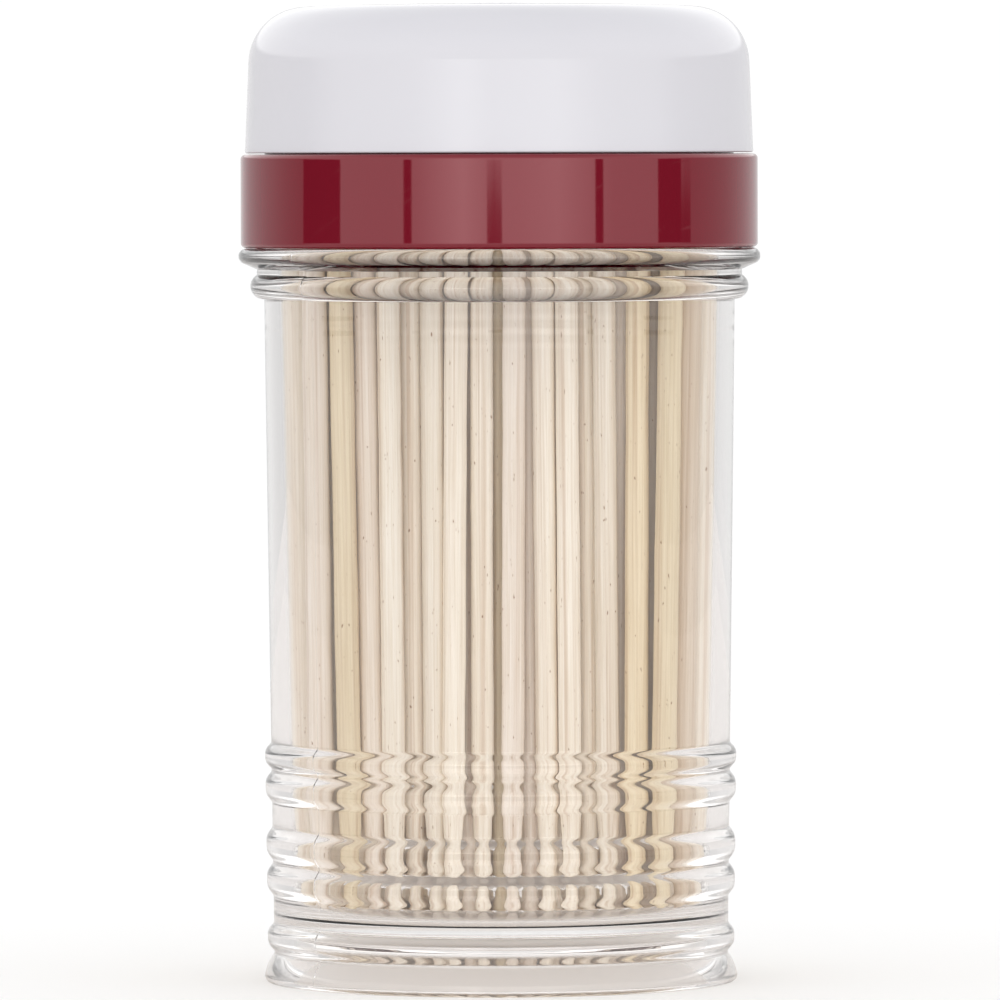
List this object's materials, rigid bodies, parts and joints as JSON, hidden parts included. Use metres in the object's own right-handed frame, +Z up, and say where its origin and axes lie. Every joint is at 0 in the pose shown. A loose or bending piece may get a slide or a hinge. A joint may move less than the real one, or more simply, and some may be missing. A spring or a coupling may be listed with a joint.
{
  "type": "toothpick dispenser",
  "caption": "Clear ribbed jar of wooden toothpicks, with a red push-fit collar and a white domed cap that twists to open or close the outlet in its top.",
  "frame": {"origin": "centre of the foot ring, on the surface that the dispenser stands on", "axes": "+Z up along the jar's axis; -Y is the front, where the outlet is"},
  "size_m": [0.0426, 0.0426, 0.08],
  "materials": {
    "clear_plastic": "clear moulded plastic, polished",
    "red_plastic": "glossy deep red",
    "white_plastic": "glossy cool white",
    "birch": "plain turned birch, unsealed"
  },
  "bodies": {
    "filled_jar": {"jar": "clear_plastic", "toothpick_01": "birch", "toothpick_02": "birch", "toothpick_03": "birch", "toothpick_04": "birch", "toothpick_05": "birch", "toothpick_06": "birch", "toothpick_07": "birch", "toothpick_08": "birch", "toothpick_09": "birch", "toothpick_10": "birch", "toothpick_11": "birch", "toothpick_12": "birch", "toothpick_13": "birch", "toothpick_14": "birch", "toothpick_15": "birch", "toothpick_16": "birch", "toothpick_17": "birch", "toothpick_18": "birch", "toothpick_19": "birch", "toothpick_20": "birch", "toothpick_21": "birch", "toothpick_22": "birch", "toothpick_23": "birch", "toothpick_24": "birch", "toothpick_25": "birch", "toothpick_26": "birch", "toothpick_27": "birch", "toothpick_28": "birch", "toothpick_29": "birch", "toothpicks_row_03": "birch", "toothpicks_row_04": "birch", "toothpicks_row_05": "birch", "toothpicks_row_06": "birch", "toothpicks_row_07": "birch", "toothpicks_row_08": "birch", "toothpicks_row_09": "birch", "toothpicks_row_10": "birch", "toothpicks_row_11": "birch"},
    "collar": {"neck_collar": "red_plastic"},
    "cap": {"twist_cap": "white_plastic"}
  },
  "joints": [
    {"name": "collar_lift", "type": "slide", "parent": "filled_jar", "child": "collar", "axis": [0, 0, 1], "range_m": [0, 0.03]},
    {"name": "cap_turn", "type": "hinge", "parent": "collar", "child": "cap", "pos_m": [0, 0, 0.0739], "axis": [0, 0, 1], "range_deg": [-90, 0]}
  ]
}
